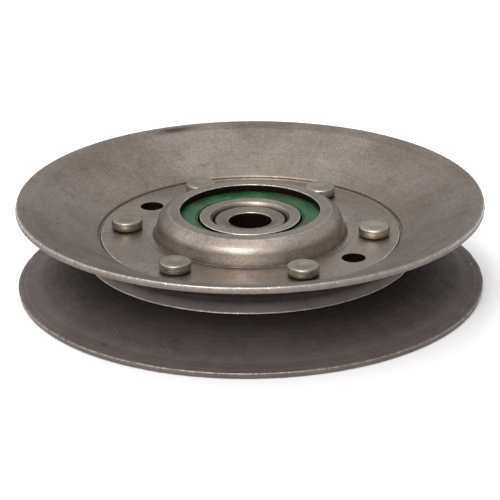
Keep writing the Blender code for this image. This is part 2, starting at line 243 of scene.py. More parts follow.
def upper_sheave_outline():
    """Upper sheave, with its collar standing round the hub plate."""
    belt, dish = rim_corners(belt_wear=0.25, dish_wear=1.0, edge_film=0.0)
    edge_r, edge_z = FLOOR_EDGE
    web_top = WEB_BOTTOM + SHEET
    return [*belt,
            # The groove floor is painted darker towards its top, as shade under the overhanging upper
            # flange.
            corner(FLOOR_TOP_RADIUS, on_cone(belt[-1], FLOOR_TOP_RADIUS), 1.2, 0.0, 1.0, 1.0),
            corner(FLOOR_TOP_RADIUS + 0.05, FLOOR_WAIST_Z, 4.0, 0.0, 0.75, 1.0),
            corner(edge_r - 0.12, edge_z + 0.4, 0.3, 0.15, 0.0, 0.7),
            corner(edge_r + 0.15, edge_z, 0.15, 0.9),
            corner(edge_r, edge_z - 0.2, 0.1, 0.9),
            # Painted shade under the floor's edge and in the web's corner, between the two sheaves.
            corner(edge_r - 1.0, WEB_BOTTOM - 0.9, 0.4, 0.0, 0.9, 0.5),
            corner(WEB_CORNER + 0.2, WEB_BOTTOM, 0.6, 0.0, 0.9),
            corner(WEB_HOLE, WEB_BOTTOM, 0.1),
            corner(WEB_HOLE, web_top, 0.1),
            # Painted shade in the gap round the hub plate's edge, and faintly at the collar's bends.
            corner(PLATE_RADIUS + 0.1, web_top, 0.1, 0.0, 0.5),
            corner(PLATE_RADIUS + 0.12, PLATE_TOP - 0.3, 0.1, 0.0, 0.3),
            corner(COLLAR_RADIUS, PLATE_TOP - 0.15, 0.4, 0.0, 0.15),
            corner(COLLAR_RADIUS, on_cone(dish[-1], COLLAR_RADIUS), 1.6, 0.0, 0.12),
            *reversed(dish)]


def lower_sheave_outline():
    """Lower sheave: darker towards its web, partly dirt and partly painted shade at the groove's root,
    with two faint pressed lines in its lip, darkened as painted shade.
    """
    sides = rim_corners(belt_wear=0.5, dish_wear=0.3, edge_film=0.8)
    belt, dish = (flip(side) for side in sides)
    lip = belt[1]
    slope = (lip[1] - LOWER_WEB_TOP) / (lip[0] - WEB_CORNER)
    inset = SHEET * math.tan(0.5 * math.atan(-slope))
    # Darker towards the web: partly dirt, partly painted shade at the root of the groove.
    cone = [corner(r, LOWER_WEB_TOP + (r - WEB_CORNER) * slope, 8.0, 0.0, dirt_and_shade, 1.0)
            for r, dirt_and_shade in ((37.5, 0.95), (39.0, 0.85), (40.5, 0.75), (42.0, 0.64), (43.5, 0.54),
                             (45.0, 0.44), (46.5, 0.34), (48.0, 0.24))]
    # The two pressed lines are darkened as painted shade.
    creases = [corner(r, lip[1] - (r - lip[0]) * math.tan(LIP_SLOPE) - dent, 0.1, 0.0, dirt_and_shade, 0.8)
               for r, dent, dirt_and_shade in ((51.3, 0.0, 0.1), (51.5, 0.05, 0.3), (51.7, 0.0, 0.1),
                                      (52.6, 0.0, 0.1), (52.8, 0.06, 0.3), (53.0, 0.0, 0.1))]
    return [belt[0], *dish[:3],
            corner(WEB_CORNER - inset, LOWER_WEB_TOP - SHEET, 1.4, 0.1),
            corner(WEB_HOLE, LOWER_WEB_TOP - SHEET, 0.1),
            corner(WEB_HOLE, LOWER_WEB_TOP, 0.1),
            corner(WEB_CORNER, LOWER_WEB_TOP, 1.4, 0.0, 1.0, 1.0),
            *cone, lip, *creases]


def hub_plate_outline(plate_radius, plate_top):
    """Hub plate whose dome stands up, drawn in to a mouth over the bearing."""
    bottom = plate_top - SHEET
    inner = RACE_RADIUS + SEAT_GAP
    ceiling = DOME_TOP - SHEET
    coined = plate_top - COINED_DEPTH
    # The plate's top edge carries a painted highlight.
    return [corner(plate_radius, plate_top, 0.2, 0.65),
            corner(plate_radius, bottom, 0.15, 0.1),
            corner(inner + SHEET, bottom, 1.0),
            corner(inner, bottom + SHEET, 1.0),
            corner(inner, ceiling, 1.0),
            # The inside wall of the mouth is painted dark.
            corner(DOME_MOUTH, ceiling, 0.12, 0.0, 1.0),
            corner(DOME_MOUTH + 0.03, DOME_TOP - 0.3, 0.1, 0.0, 1.0),
            corner(DOME_MOUTH, DOME_TOP, 0.2, 0.7),
            corner(DOME_SHOULDER, DOME_TOP, 0.45, 0.4),
            corner(*DOME_BEND, 3.4),
            # Round the dome's foot: painted shade in a dark line at the fillet and a thin line at the
            # ring's outer edge, with a painted highlight on the ring between them.
            corner(DOME_RADIUS, coined, 0.8, 0.0, 0.6),
            corner(22.8, coined, 0.1, 0.5),
            corner(23.7, plate_top - 0.1, 0.15, 0.5, 0.2),
            corner(24.0, plate_top, 0.2, 0.2)]


def raceway(shoulder, side):
    """Ball groove between two shoulders; side is +1 in the outer race, -1 in the inner."""
    groove = BALL_RADIUS + 0.3
    reach = math.acos(abs(shoulder - BALL_CIRCLE) / groove)
    points = []
    for i in range(RACEWAY_STEPS + 1):
        angle = reach * (1.0 - 2.0 * i / RACEWAY_STEPS)
        r, z = BALL_CIRCLE + side * groove * math.cos(angle), groove * math.sin(angle)
        points.append(corner(r, z, 0.0))
    return points


def outer_race_outline():
    """Outer race, stepped on both sides for the seals."""
    shoulder, seal_seat, seat = 16.6, SEAL_RADIUS + SEAT_GAP, SEAL_BACK - SEAT_GAP
    return [corner(RACE_RADIUS, -RACE_FACE, 1.0, 0.3), corner(RACE_RADIUS, RACE_FACE, 1.0, 0.3),
            corner(seal_seat, RACE_FACE, 0.2, 0.4), corner(seal_seat, seat, 0.1),
            corner(shoulder, seat, 0.15), *raceway(shoulder, +1), corner(shoulder, -seat, 0.15),
            corner(seal_seat, -seat, 0.1), corner(seal_seat, -RACE_FACE, 0.2, 0.4)]


def inner_race_outline():
    """Inner race: ground faces, and a round corner into the bore."""
    face_edge, shoulder, bore, corner_size = 11.75, 11.6, SLEEVE_RADIUS + SEAT_GAP, 0.75
    return [corner(face_edge, RACE_FACE, 0.22, 0.8), corner(shoulder, RACE_FACE - 0.5, 0.2, 0.0, 0.8),
            *raceway(shoulder, -1),
            corner(shoulder, -RACE_FACE + 0.5, 0.2), corner(face_edge, -RACE_FACE, 0.22, 0.75),
            corner(bore + corner_size, -RACE_FACE, 0.2, 0.6), corner(bore, -RACE_FACE + 1.0, 0.9),
            # Down the bore, between race and sleeve, the race is painted dark as shade.
            corner(bore, RACE_FACE - 1.5, 0.2, 0.0, 1.0), corner(bore, RACE_FACE - 1.0, 0.9, 0.0, 0.75),
            corner(bore + corner_size, RACE_FACE, 0.35, 0.35)]


def seal_outline():
    """Moulded seal: a flat ring, then a groove and a thin lip beside the race."""
    inner, groove_floor = 12.1, SEAL_FACE - 0.32
    # The groove and the inner corners are painted darker.
    return [corner(SEAL_RADIUS, SEAL_BACK, 0.1), corner(SEAL_RADIUS, SEAL_FACE, 0.3, 0.3),
            corner(12.62, SEAL_FACE, 0.1), corner(12.55, groove_floor, 0.05, 0.0, 1.0),
            corner(12.38, groove_floor, 0.05, 0.0, 1.0), corner(12.32, SEAL_FACE - 0.1, 0.06),
            corner(inner, SEAL_FACE - 0.16, 0.08, 0.0, 0.2), corner(inner, SEAL_BACK, 0.1, 0.0, 1.0)]


def sleeve_outline():
    """Reducing sleeve: a turned face with a shallow funnel into the bolt hole."""
    bore, funnel, depth = 5.0, 6.7, 0.5
    half = [corner(SLEEVE_RADIUS, SLEEVE_END, 0.8, 0.15),
            corner(funnel, SLEEVE_END, 1.0), corner(bore, SLEEVE_END - depth, 0.15, 0.55),
            # The wall of the bolt hole is painted dark as shade.
            corner(bore, SLEEVE_END - depth - 0.35, 0.1, 0.0, 1.0)]
    return half + list(reversed(flip(half)))


def rivet_outline():
    """Rivet about its own axis: a soft-edged round head above, the set head below."""
    under, over = PLATE_TOP + HEAD_GAP, LOWER_PLATE_FACE - HEAD_GAP
    waist = RIVET_RADIUS - 0.1
    # The dimple in the head and the corners under both heads are painted darker as shade.
    return [corner(0.0, RIVET_TOP - 0.3, 0.0, 0.0, 0.25), corner(1.0, RIVET_TOP - 0.24, 0.8, 0.0, 0.12),
            corner(1.8, RIVET_TOP - 0.02, 1.0), corner(RIVET_RADIUS - 0.12, RIVET_TOP, 0.6, 0.2),
            corner(RIVET_RADIUS, 0.6 * RIVET_TOP + 0.4 * under, 3.0, 0.35),
            corner(waist, under, 0.4, 0.0, 0.6), corner(RIVET_SHANK_RADIUS, under, 0.1),
            corner(RIVET_SHANK_RADIUS, over, 0.1),
            corner(waist, over, 0.3, 0.0, 0.8),
            corner(RIVET_RADIUS, 0.5 * (RIVET_FOOT + over), 1.6),
            corner(RIVET_RADIUS - 0.35, RIVET_FOOT, 0.8, 0.3), corner(1.4, RIVET_FOOT, 0.6),
            corner(0.0, RIVET_FOOT + 0.1, 0.0)]


# ---- Meshes -------------------------------------------------------------------
def add_layer(mesh, name, values):
    """Stores one number for each point, for the materials to read."""
    layer = mesh.attributes.new(name, "FLOAT", "POINT")
    layer.data.foreach_set("value", np.asarray(values, np.float32))


def stained(r, a, stains):
    """How dirty the stains make each point; zero away from them."""
    darkening = np.zeros_like(r)
    for radius, degrees, around, outward, strength in stains:
        gap = (a - math.radians(degrees) + math.pi) % (2 * math.pi) - math.pi
        darkening = np.maximum(darkening, strength * np.exp(-(gap * radius / around) ** 2
                                                  - ((r - radius) / outward) ** 2))
    return darkening


def turned_mesh(name, outline, segments, shape=None, stains=()):
    """Spins a rounded outline about Z; shape may push the points about, in mm."""
    points = np.array(rounded(outline))
    angles = np.linspace(0.0, 2 * math.pi, segments, endpoint=False)
    r = np.repeat(points[:, :1], segments, 1)
    z = np.repeat(points[:, 1:2], segments, 1)
    a = np.repeat(angles[None, :], len(points), 0)
    if shape is not None:
        r, z = shape(r, z, a)
    coords = np.stack([r * np.cos(a), r * np.sin(a), z], -1).reshape(-1, 3) * MM
    rows = np.arange(len(points))
    next_rows = (rows + 1) % len(points)
    columns = np.arange(segments)
    next_columns = (columns + 1) % segments
    quads = np.stack([rows[:, None] * segments + columns, rows[:, None] * segments + next_columns,
                      next_rows[:, None] * segments + next_columns,
                      next_rows[:, None] * segments + columns], -1).reshape(-1, 4)
    mesh = bpy.data.meshes.new(name)
    mesh.from_pydata(coords.tolist(), [], quads.tolist())
    dirt_and_shade = np.repeat(points[:, 3:4], segments, 1)
    # Bright wear on edges, with painted highlights on the hub plate's edge and round the dome's foot.
    add_layer(mesh, "wear_and_highlight", np.repeat(points[:, 2], segments))
    # Painted shade in corners, creases and hollows, together with the dirt of the stains.
    add_layer(mesh, "dirt_and_shade", np.maximum(dirt_and_shade, stained(r, a, stains)).ravel())
    add_layer(mesh, "film", np.repeat(points[:, 4], segments))
    tidy_mesh(mesh)
    return mesh


def tidy_mesh(mesh):
    """Closes the axis points, turns the faces out and shades them smooth."""
    bm = bmesh.new()
    bm.from_mesh(mesh)
    bmesh.ops.remove_doubles(bm, verts=bm.verts, dist=1e-7)
    bmesh.ops.dissolve_degenerate(bm, edges=bm.edges, dist=1e-8)
    bmesh.ops.recalc_face_normals(bm, faces=bm.faces)
    bm.to_mesh(mesh)
    bm.free()
    mesh.shade_smooth()


def smooth_noise(seed, waves, highest):
    """A smooth closed curve of an angle: a few random low harmonics."""
    rng = random.Random(seed)
    terms = [(rng.randint(1, highest), rng.uniform(0, 2 * math.pi), rng.uniform(0.4, 1.0))
             for _ in range(waves)]
    total = sum(weight for _, _, weight in terms)

    def curve(angle):
        return sum(w * np.sin(k * angle + phase) for k, phase, w in terms) / total
    return curve


def rim_damage(seed, count):
    """Small dents along a rim: their depth at an angle, in millimetres."""
    rng = random.Random(seed)
    dents = [(rng.uniform(-math.pi, math.pi), rng.uniform(0.004, 0.016), rng.uniform(0.04, 0.16))
             for _ in range(count)]

    def depth(angle):
        total = np.zeros_like(angle)
        for at, half_width, deep in dents:
            gap = (angle - at + math.pi) % (2 * math.pi) - math.pi
            total = np.maximum(total, deep * np.exp(-(gap / half_width) ** 2))
        return total
    return depth


def worn_sheave(seed):
    """Slight warp of a pressed sheave, nicked along its rim."""
    warp, ripple = smooth_noise(seed, 5, 5), smooth_noise(seed + 1, 8, 17)
    nicks = rim_damage(seed + 2, 70)
    floor_nicks = rim_damage(seed + 3, 60)

    def shape(r, z, a):
        outer = np.clip((r - 40.0) / (RIM - 40.0), 0.0, 1.0)
        z = z + outer * (0.05 * warp(a) + 0.015 * ripple(a))
        at_edge = np.clip((r - RIM + 0.6) / 0.6, 0.0, 1.0)
        r = r - at_edge * nicks(a)
        at_floor = np.exp(-((r - FLOOR_EDGE[0]) / 0.3) ** 2 - ((z - FLOOR_EDGE[1]) / 0.35) ** 2)
        return r - 0.8 * at_floor * floor_nicks(a), z
    return shape


def warped_plate(seed):
    warp = smooth_noise(seed, 6, 6)

    def shape(r, z, a):
        outer = np.clip((r - 24.0) / 10.0, 0.0, 1.0)
        return r + 0.04 * outer * smooth_noise(seed + 5, 5, 4)(a), z + 0.03 * outer * warp(a)
    return shape


def make_object(name, mesh, material):
    piece = bpy.data.objects.new(name, mesh)
    mesh.materials.append(material)
    bpy.context.scene.collection.objects.link(piece)
    return piece


def settle(piece, body, slot, *nodes):
    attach(piece, body)
    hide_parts(*nodes)


def turned_piece(node, outline, segments, material, body, slot, shape=None, stains=()):
    mesh = turned_mesh(node, outline, segments, shape, stains)
    piece = make_object(f"{node}_detail", mesh, material)
    settle(piece, body, slot, node)
    return piece


def drill(piece, holes):
    """Cuts round holes (x, y, radius) through a sheet; edges sharper than 40 degrees are shaded sharp."""
    cutters = []
    for x, y, hole_radius in holes:
        bm = bmesh.new()
        bmesh.ops.create_cone(bm, cap_ends=True, segments=48, radius1=hole_radius * MM,
                              radius2=hole_radius * MM, depth=30.0 * MM)
        mesh = bpy.data.meshes.new("hole")
        bm.to_mesh(mesh)
        bm.free()
        cutter = bpy.data.objects.new("hole", mesh)
        cutter.location = (x * MM, y * MM, 0.0)
        bpy.context.scene.collection.objects.link(cutter)
        cut = piece.modifiers.new("hole", "BOOLEAN")
        cut.operation = "DIFFERENCE"
        cut.object = cutter
        cutters.append(cutter)
    bpy.context.view_layer.update()
    graph = bpy.context.evaluated_depsgraph_get()
    drilled = bpy.data.meshes.new_from_object(piece.evaluated_get(graph))
    piece.modifiers.clear()
    piece.data = drilled
    drilled.set_sharp_from_angle(angle=math.radians(40.0))
    for cutter in cutters:
        bpy.data.objects.remove(cutter)


def polar(circle, degrees):
    return circle * math.cos(math.radians(degrees)), circle * math.sin(math.radians(degrees))


# ---- Materials ----------------------------------------------------------------
class Paint:
    """A small helper that adds shader nodes to one material."""

    def __init__(self, name):
        self.material = bpy.data.materials.new(name)
        self.material.use_nodes = True
        self.tree = self.material.node_tree
        self.shader = self.tree.nodes["Principled BSDF"]
        self.place = self.node("ShaderNodeTexCoord").outputs["Object"]

    def node(self, kind, **settings):
        made = self.tree.nodes.new(kind)
        for key, value in settings.items():
            setattr(made, key, value)
        return made

    def plug(self, value, socket):
        if isinstance(value, bpy.types.NodeSocket):
            self.tree.links.new(value, socket)
        elif value is not None:
            socket.default_value = value

    def math(self, operation, a, b=None, c=None):
        made = self.node("ShaderNodeMath", operation=operation)
        for value, socket in zip((a, b, c), made.inputs):
            self.plug(value, socket)
        return made.outputs[0]

    def ramp(self, value, low, high, out_low=0.0, out_high=1.0):
        made = self.node("ShaderNodeMapRange", interpolation_type="SMOOTHSTEP")
        for v, socket in zip((value, low, high, out_low, out_high), made.inputs):
            self.plug(v, socket)
        return made.outputs[0]

    def noise(self, scale, detail=3.0, roughness=0.5, at=None, distortion=0.0):
        made = self.node("ShaderNodeTexNoise")
        self.plug(at if at is not None else self.place, made.inputs["Vector"])
        made.inputs["Scale"].default_value = scale
        made.inputs["Detail"].default_value = detail
        made.inputs["Roughness"].default_value = roughness
        made.inputs["Distortion"].default_value = distortion
        return made.outputs["Fac"]

    def mix(self, factor, a, b, blend="MIX"):
        made = self.node("ShaderNodeMix", data_type="RGBA", blend_type=blend)
        colours = [s for s in made.inputs if s.type == "RGBA"]
        self.plug(factor, made.inputs["Factor"])
        self.plug(a, colours[0])
        self.plug(b, colours[1])
        return next(s for s in made.outputs if s.type == "RGBA")

    def layer(self, name):
        return self.node("ShaderNodeAttribute", attribute_name=name).outputs["Fac"]

    def stretched(self, around, along_radius, up=0.0):
        """Coordinates that follow the turning: stretched round the axis or out from it."""
        split = self.node("ShaderNodeSeparateXYZ")
        self.plug(self.place, split.inputs[0])
        x, y, z = split.outputs
        r = self.math("SQRT", self.math("ADD", self.math("MULTIPLY", x, x), self.math("MULTIPLY", y, y)))
        safe = self.math("MAXIMUM", r, 1e-5)
        join = self.node("ShaderNodeCombineXYZ")
        self.plug(self.math("MULTIPLY", self.math("DIVIDE", x, safe), around), join.inputs[0])
        self.plug(self.math("MULTIPLY", self.math("DIVIDE", y, safe), around), join.inputs[1])
        height = self.math("MULTIPLY", z, up)
        self.plug(self.math("MULTIPLY_ADD", r, along_radius, height), join.inputs[2])
        return join.outputs[0]

    def spot(self, x, y, along, across, degrees=0.0, soft=0.25):
        """1 inside an oval at (x, y) mm, 0 outside; soft is the faded share of its size."""
        made = self.node("ShaderNodeMapping", vector_type="TEXTURE")
        self.plug(self.place, made.inputs["Vector"])
        made.inputs["Location"].default_value = (x * MM, y * MM, 0.0)
        made.inputs["Rotation"].default_value = (0.0, 0.0, math.radians(degrees))
        made.inputs["Scale"].default_value = (along * MM, across * MM, 1.0)
        split = self.node("ShaderNodeSeparateXYZ")
        self.plug(made.outputs[0], split.inputs[0])
        u, v = split.outputs[0], split.outputs[1]
        far = self.math("SQRT", self.math("ADD", self.math("MULTIPLY", u, u), self.math("MULTIPLY", v, v)))
        return self.ramp(far, 1.0 - soft, 1.0, 1.0, 0.0)

    def bump(self, height, distance, strength=1.0, below=None):
        made = self.node("ShaderNodeBump")
        made.inputs["Distance"].default_value = distance
        made.inputs["Strength"].default_value = strength
        self.plug(height, made.inputs["Height"])
        self.plug(below, made.inputs["Normal"])
        return made.outputs["Normal"]


def rgb(red, green, blue):
    """Colour from 0-255 screen values, as the shader's linear values."""
    def linear(v):
        v /= 255.0
        return v / 12.92 if v <= 0.04045 else ((v + 0.055) / 1.055) ** 2.4
    return (linear(red), linear(green), linear(blue), 1.0)


def bare_tone(p, light, dark, stain, noises, grain, streaks):
    """Mottled steel colour, streaked round the axis and out from it."""
    mid, fine, rings = noises
    colour = p.mix(p.ramp(p.noise(55.0, 4.0, 0.55), 0.38, 0.62), dark, light)
    colour = p.mix(p.ramp(mid, 0.52, 0.72, 0.0, 0.45), colour, stain)
    rays = p.noise(1.0, 3.0, 0.6, at=p.stretched(70.0, 130.0, 130.0))
    shade = p.math("MULTIPLY_ADD", p.ramp(rings, 0.3, 0.7, -0.5, 0.5), 0.22 * streaks, 1.0)
    shade = p.math("MULTIPLY_ADD", p.ramp(rays, 0.3, 0.7, -0.5, 0.5), 0.16 * streaks, shade)
    shade = p.math("MULTIPLY_ADD", p.ramp(fine, 0.25, 0.75, -0.5, 0.5), 0.30 * grain, shade)
    return p.mix(1.0, colour, shade, "MULTIPLY")


def wear_and_highlight_spots(p, fine, scrapes):
    """How worn each place is, together with the painted highlights carried in the wear layer, and its
    small bright flecks.
    """
    lines = p.noise(1.0, 2.0, 0.5, at=p.stretched(60.0, 900.0, 900.0))
    scratch = p.ramp(p.math("ABSOLUTE", p.math("SUBTRACT", lines, 0.5)), 0.0, 0.012, 1.0, 0.0)
    scratch = p.math("MULTIPLY", scratch, p.ramp(p.noise(120.0, 2.0), 0.56, 0.66))
    edges = p.layer("wear_and_highlight")
    wear_and_highlight_level = p.math("MULTIPLY", edges, p.ramp(p.noise(900.0, 3.0, 0.7), 0.3, 0.6, 0.3, 1.0))
    wear_and_highlight_level = p.math("MAXIMUM", wear_and_highlight_level, p.math("MULTIPLY", scratch, 0.5))
    for scrape in scrapes:
        scraped = p.math("MULTIPLY", p.spot(*scrape), p.ramp(fine, 0.3, 0.6, 0.3, 1.0))
        wear_and_highlight_level = p.math("MAXIMUM", wear_and_highlight_level, scraped)
    flecks = p.math("MULTIPLY", edges, p.ramp(p.noise(1500.0, 2.0, 0.6), 0.58, 0.66))
    return p.math("MAXIMUM", wear_and_highlight_level, p.math("MULTIPLY", flecks, 1.3)), flecks


def film_tone(p, fine):
    """Colour of the dark rubber film that a belt leaves."""
    smudge = p.ramp(p.noise(170.0, 5.0, 0.65, distortion=0.4), 0.3, 0.72, 0.15, 0.85)
    smudge = p.math("MULTIPLY_ADD", p.ramp(fine, 0.3, 0.7, -0.5, 0.5), 0.4, smudge)
    return p.mix(smudge, rgb(82, 72, 71), rgb(62, 54, 53))


def dirt_and_shade_spots(p, holes):
    """How dark each place is: dirt in the stains, dirt and painted shade in corners, and painted shade on
    the walls of the holes.
    """
    darkening = p.math("MULTIPLY", p.layer("dirt_and_shade"), p.ramp(p.noise(400.0, 4.0, 0.6), 0.2, 0.6, 0.8, 1.0))
    # The walls of the holes are painted fully dark as shade.
    for x, y, hole_radius in holes:
        reach = hole_radius + 0.06
        darkening = p.math("MAXIMUM", darkening, p.spot(x, y, reach, reach, soft=0.02))
    return darkening


def steel(name, light, dark, stain, bright, rough=(0.34, 0.52), grain=1.0, streaks=0.5,
          scrapes=(), holes=()):
    """Bare steel: mottled, streaked by turning, stained, bright where edges are worn and where highlights
    are painted, and darkened by painted shade in corners and hollows.

    Scrapes are (x, y, half length, half width, degrees); holes are (x, y, radius), their walls painted
    dark as shade.
    """
    p = Paint(name)
    mid = p.noise(260.0, 4.0, 0.6, distortion=0.6)
    fine = p.noise(2100.0, 3.0, 0.6)
    rings = p.noise(1.0, 3.0, 0.6, at=p.stretched(3.0, 2600.0, 2600.0))
    colour = bare_tone(p, light, dark, stain, (mid, fine, rings), grain, streaks)
    wear_and_highlight_level, flecks = wear_and_highlight_spots(p, fine, scrapes)
    # Bright where edges are worn, and where highlights are painted on the hub plate.
    colour = p.mix(p.ramp(wear_and_highlight_level, 0.12, 0.8), colour, bright)
    colour = p.mix(p.ramp(flecks, 0.4, 0.9, 0.0, 0.7), colour, rgb(236, 232, 228))
    film = p.math("MULTIPLY", p.layer("film"), p.ramp(wear_and_highlight_level, 0.15, 0.6, 1.0, 0.0))
    colour = p.mix(film, colour, film_tone(p, fine))
    darkening = dirt_and_shade_spots(p, holes)
    # Dark brown for the stains, and as painted shade in corners, creases and on the walls of the holes.
    colour = p.mix(p.ramp(darkening, 0.05, 0.95), colour, rgb(34, 26, 20))
    p.plug(colour, p.shader.inputs["Base Color"])
    p.plug(p.math("MULTIPLY_ADD", film, -0.8, 1.0), p.shader.inputs["Metallic"])
    roughness = p.ramp(p.math("MULTIPLY_ADD", fine, 0.4, p.math("MULTIPLY", mid, 0.6)), 0.3, 0.7, *rough)
    roughness = p.math("MULTIPLY_ADD", wear_and_highlight_level, -0.12, roughness)
    roughness = p.math("MULTIPLY_ADD", darkening, 0.3, p.math("MULTIPLY_ADD", film, 0.12, roughness))
    p.plug(roughness, p.shader.inputs["Roughness"])
    normal = p.bump(mid, 0.00012, 0.25)
    normal = p.bump(rings, 0.00002, 0.35 * streaks, normal)
    normal = p.bump(fine, 0.00003, 0.5 * grain, normal)
    p.plug(normal, p.shader.inputs["Normal"])
    return p.material


def rubber(name, light, dark):
    """Moulded seal rubber with a dusty bloom and a fine pebbled skin."""
    p = Paint(name)
    cloud = p.noise(220.0, 4.0, 0.6)
    fine = p.noise(2600.0, 3.0, 0.6)
    colour = p.mix(p.ramp(cloud, 0.35, 0.65), dark, light)
    dust = p.ramp(p.noise(700.0, 5.0, 0.7), 0.55, 0.75, 0.0, 0.2)
    colour = p.mix(dust, colour, rgb(150, 160, 140))
    # Painted darker in the seal's groove and inner corners.
    colour = p.mix(p.ramp(p.layer("dirt_and_shade"), 0.3, 0.9), colour, rgb(20, 22, 18))
    p.plug(colour, p.shader.inputs["Base Color"])
    p.plug(p.ramp(cloud, 0.3, 0.7, 0.38, 0.58), p.shader.inputs["Roughness"])
    normal = p.bump(fine, 0.00003, 0.4, p.bump(cloud, 0.0001, 0.2))
    p.plug(normal, p.shader.inputs["Normal"])
    return p.material


def floor_paint():
    p = Paint("studio_floor_paint")
    colour = p.mix(p.noise(6.0, 3.0), rgb(238, 238, 238), rgb(244, 244, 244))
    p.plug(colour, p.shader.inputs["Base Color"])
    p.shader.inputs["Roughness"].default_value = 0.9
    return p.material


# ---- The wheel ----------------------------------------------------------------
def make_wheel():
    """Both sheaves, both hub plates and the six rivets."""
    pitch = 360.0 / RIVET_COUNT
    rivet_holes = [(*polar(RIVET_CIRCLE, pitch * i), RIVET_HOLE_RADIUS) for i in range(RIVET_COUNT)]
    tooling_holes = [(*polar(RIVET_CIRCLE, a), TOOLING_HOLE_RADIUS) for a in TOOLING_HOLE_ANGLES]
    scrapes = ((*polar(39.4, 35.0), 1.3, 0.16, 65.0), (*polar(51.2, 74.0), 1.1, 0.14, 20.0),
               (*polar(50.2, 71.0), 0.5, 0.14, 30.0), (*polar(52.2, 12.0), 0.6, 0.2, 100.0),
               (*polar(47.5, 92.0), 0.5, 0.18, 5.0))
    sheave_paint = steel("sheave_steel", rgb(154, 144, 136), rgb(138, 128, 119),
                         rgb(118, 108, 99), rgb(172, 166, 162), grain=1.4,
                         scrapes=scrapes, holes=tooling_holes)
    hub_paint = steel("hub_plate_steel", rgb(164, 153, 144), rgb(148, 138, 129),
                      rgb(118, 109, 100), rgb(218, 213, 208), rough=(0.3, 0.48), grain=1.3,
                      holes=tooling_holes)
    rivet_paint = steel("rivet_zinc", rgb(176, 170, 158), rgb(150, 144, 133),
                        rgb(124, 118, 107), rgb(226, 222, 214), rough=(0.25, 0.45), streaks=0.0)
    upper = turned_piece("upper_sheave", upper_sheave_outline(), SHEAVE_SEGMENTS, sheave_paint,
                         "wheel", "pressed_steel", worn_sheave(11), DISH_STAINS)
    lower = turned_piece("lower_sheave", lower_sheave_outline(), SHEAVE_SEGMENTS, sheave_paint,
                         "wheel", "pressed_steel", worn_sheave(29), BELT_STAINS)
    plate = turned_piece("upper_hub_plate", hub_plate_outline(PLATE_RADIUS, PLATE_TOP), HUB_SEGMENTS,
                         hub_paint, "wheel", "pressed_steel", warped_plate(5))
    under = turned_piece("lower_hub_plate", flip(hub_plate_outline(LOWER_PLATE_RADIUS, -LOWER_PLATE_FACE)),
                         HUB_SEGMENTS, hub_paint, "wheel", "pressed_steel", warped_plate(8))
    for sheet in (upper, lower, plate, under):
        drill(sheet, rivet_holes + tooling_holes)
    for i in range(RIVET_COUNT):
        mesh = turned_mesh("rivet", rivet_outline(), RIVET_SEGMENTS)
        x, y = polar(RIVET_CIRCLE, pitch * i)
        mesh.transform(Matrix.Translation((x * MM, y * MM, 0.0)))
        rivet = make_object(f"rivet_{i + 1}_detail", mesh, rivet_paint)
        settle(rivet, "wheel", "rivet_steel", f"rivet_{i + 1}")


# ---- The bearing --------------------------------------------------------------
def cage_mesh(name, side):
    """One pressed half of the cage: it arches over each ball with soft shoulders."""
    steps = 384
    inner, outer, sheet, split = 12.6, 15.9, 0.5, 0.15
    pocket = BALL_RADIUS + 0.3
    softness = 0.02              # rounds the arch where it meets the flat parts
    edge = 0.15
    across_band = (inner, inner + edge, outer - edge, outer)
    section = [(r, 0.0) for r in across_band] + [(r, sheet) for r in reversed(across_band)]
    coords, faces = [], []
    for i in range(steps):
        angle = 2 * math.pi * i / steps
        pitch = 2 * math.pi / BALL_COUNT
        offset = (angle + 0.5 * pitch) % pitch - 0.5 * pitch
        across = BALL_CIRCLE * math.sin(offset)
        arch = math.sqrt(max(0.0, pocket ** 2 - across ** 2))
        base = 0.5 * (arch + split + math.sqrt((arch - split) ** 2 + softness))
        for r, z in section:
            coords.append((r * MM * math.cos(angle), r * MM * math.sin(angle), side * (base + z) * MM))
    n = len(section)
    for i in range(steps):
        k = (i + 1) % steps
        for j in range(n):
            m = (j + 1) % n
            faces.append((i * n + j, i * n + m, k * n + m, k * n + j))
    mesh = bpy.data.meshes.new(name)
    mesh.from_pydata(coords, [], faces)
    tidy_mesh(mesh)
    mesh.set_sharp_from_angle(angle=math.radians(50.0))
    return mesh


def ball_mesh(index):
    bm = bmesh.new()
    bmesh.ops.create_icosphere(bm, subdivisions=4, radius=BALL_RADIUS * MM)
    mesh = bpy.data.meshes.new("ball")
    bm.to_mesh(mesh)
    bm.free()
    x, y = polar(BALL_CIRCLE, 360.0 / BALL_COUNT * index)
    mesh.transform(Matrix.Translation((x * MM, y * MM, 0.0)))
    mesh.shade_smooth()
    return mesh


